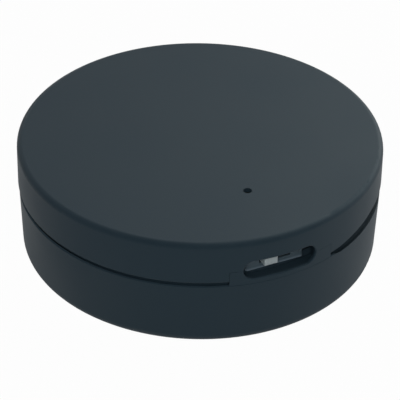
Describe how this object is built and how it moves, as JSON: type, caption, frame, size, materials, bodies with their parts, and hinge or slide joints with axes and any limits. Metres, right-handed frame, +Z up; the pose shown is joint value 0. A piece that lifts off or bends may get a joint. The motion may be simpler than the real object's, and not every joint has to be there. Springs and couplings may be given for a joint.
{
  "type": "pick-up sensor",
  "caption": "Black round puck that senses when it is lifted: snap-fit shells, a pinhole over a status light, and a slide switch behind a slot in the side.",
  "frame": {"origin": "middle of the flat underside", "axes": "+Z up through the puck's axis; -Y is the front, towards the picture's camera; the slot faces 26 degrees from -Y towards +X"},
  "size_m": [0.045, 0.045, 0.0147],
  "materials": {
    "shell_plastic": "fine spark-eroded texture",
    "guide_acrylic": "clear polished acrylic",
    "board_laminate": "dark solder mask over glass laminate",
    "screw_steel": "dull zinc plate",
    "switch_plastic": "black moulded nylon",
    "switch_steel": "folded tinned steel",
    "knob_plastic": "light grey moulded nylon",
    "contact_bronze": "bright phosphor bronze",
    "tinned_metal": "tin plate",
    "cell_steel": "nickel-plated drawn steel",
    "gasket_plastic": "moulded polypropylene",
    "holder_plastic": "black glass-filled polymer",
    "contact_spring_metal": "nickel-plated spring strip",
    "pad_foam": "closed-cell foam",
    "chip_resin": "moulded epoxy",
    "shield_steel": "tinned steel sheet",
    "crystal_metal": "welded metal lid",
    "antenna_ceramic": "fired white ceramic",
    "inductor_ferrite": "ferrite composite",
    "bulk_resin": "moulded epoxy",
    "light_resin": "clear resin over phosphor",
    "capacitor_ceramic": "fired brown ceramic",
    "resistor_ceramic": "glazed film on alumina"
  },
  "bodies": {
    "base": {"base_shell": "shell_plastic", "cell_pad": "pad_foam"},
    "upper": {"lid_shell": "shell_plastic", "light_guide": "guide_acrylic", "circuit_board": "board_laminate", "board_screws": "screw_steel", "switch_body": "switch_plastic", "switch_cover": "switch_steel", "switch_terminals": "tinned_metal", "coin_cell_can": "cell_steel", "coin_cell_gasket": "gasket_plastic", "coin_cell_cap": "cell_steel", "battery_holder": "holder_plastic", "cell_clip": "contact_spring_metal", "cell_spring": "contact_spring_metal", "radio_chip": "chip_resin", "crystal": "crystal_metal", "shield_can": "shield_steel", "chip_antenna": "antenna_ceramic", "accelerometer": "chip_resin", "voltage_regulator": "chip_resin", "power_inductor": "inductor_ferrite", "bulk_capacitor": "bulk_resin", "status_light": "light_resin", "capacitors": "capacitor_ceramic", "resistors": "resistor_ceramic"},
    "slider": {"switch_knob": "knob_plastic", "switch_wiper": "contact_bronze"}
  },
  "joints": [
    {"name": "lid_lift", "type": "slide", "parent": "base", "child": "upper", "axis": [0, 0, 1], "range_m": [0, 0.02]},
    {"name": "knob_slide", "type": "slide", "parent": "upper", "child": "slider", "axis": [0.9005, 0.4349, 0], "range_m": [0, 0.002]}
  ]
}
